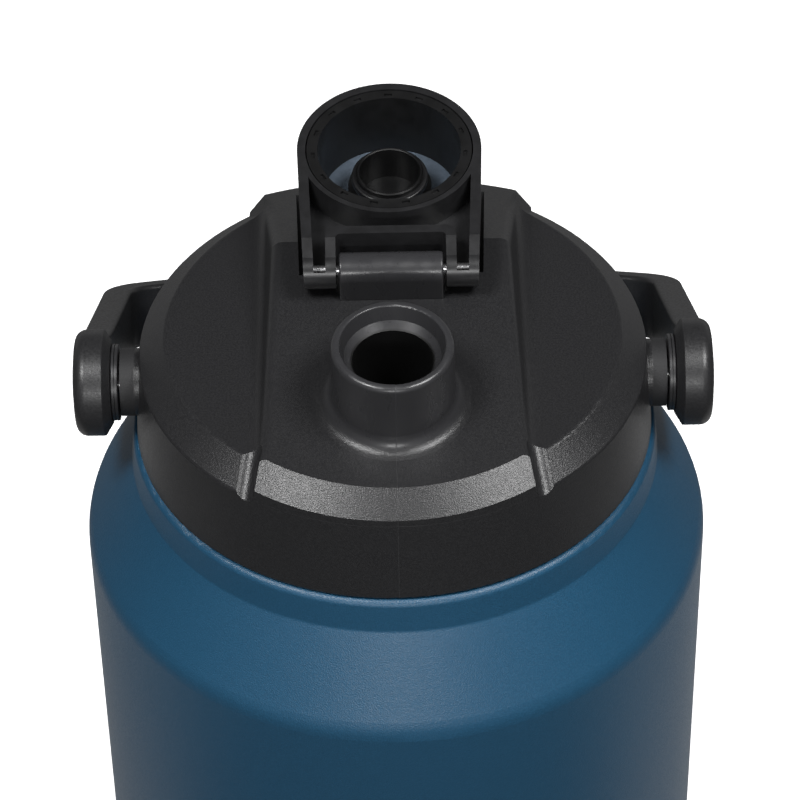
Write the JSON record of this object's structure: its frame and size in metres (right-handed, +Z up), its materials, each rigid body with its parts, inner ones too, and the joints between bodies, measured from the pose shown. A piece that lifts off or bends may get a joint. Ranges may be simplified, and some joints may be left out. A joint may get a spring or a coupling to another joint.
{
  "type": "water jug",
  "caption": "Large insulated steel water jug with a screw lid, a swinging carrying handle and a hinged flip cap over a drinking spout.",
  "frame": {"origin": "centre of the base, on the surface that the jug stands on", "axes": "+Z up the vessel's axis; -Y is the front, the spout's side; X runs along the handle's pivots and the cap's hinge pin"},
  "size_m": [0.1534, 0.1655, 0.3141],
  "materials": {
    "powder_coat": "satin powder coat with a fine grain",
    "steel": "brushed stainless steel",
    "glass_solder": "fused sealing glass",
    "getter_metal": "sintered metal pellet",
    "silicone": "soft matte silicone",
    "lid_plastic": "fine moulded texture",
    "core_plastic": "smooth moulded plastic",
    "foam": "closed-cell insulating foam",
    "washer_plastic": "smooth turned plastic",
    "handle_plastic": "satin moulded plastic",
    "cap_plastic": "semi-gloss moulded plastic",
    "black_rubber": "smooth rubber"
  },
  "bodies": {
    "root": {"outer_shell": "powder_coat", "inner_liner": "steel", "base_plate": "powder_coat", "vacuum_seal": "glass_solder", "getter": "getter_metal"},
    "lid_lift": {"lid_gasket": "silicone"},
    "lid": {"lid_shell": "lid_plastic", "lid_core": "core_plastic", "lid_foam": "foam", "channel_seal": "silicone", "pivot_pin_left": "steel", "pivot_pin_right": "steel", "pivot_washer_left": "washer_plastic", "pivot_washer_right": "washer_plastic"},
    "handle": {"handle": "handle_plastic"},
    "cap": {"cap_shell": "cap_plastic", "cap_insert": "cap_plastic", "cap_washer": "silicone", "cap_plug": "cap_plastic", "plug_seal": "black_rubber", "hinge_pin": "steel"}
  },
  "joints": [
    {"name": "lid_rise", "type": "slide", "parent": "root", "child": "lid_lift", "axis": [0, 0, 1], "range_m": [0, 0.012]},
    {"name": "lid_twist", "type": "hinge", "parent": "lid_lift", "child": "lid", "pos_m": [0, 0, 0.26], "axis": [0, 0, 1], "range_deg": [0, 720]},
    {"name": "handle_swing", "type": "hinge", "parent": "lid", "child": "handle", "pos_m": [0, 0, 0.2722], "axis": [1, 0, 0], "range_deg": [0, 238]},
    {"name": "cap_hinge", "type": "hinge", "parent": "lid", "child": "cap", "pos_m": [0, 0.0049, 0.3022], "axis": [1, 0, 0], "range_deg": [0, 179]}
  ],
  "couplings": [
    {"joint": "lid_rise", "follows": "lid_twist", "m_per_rad": 0.00095493}
  ]
}
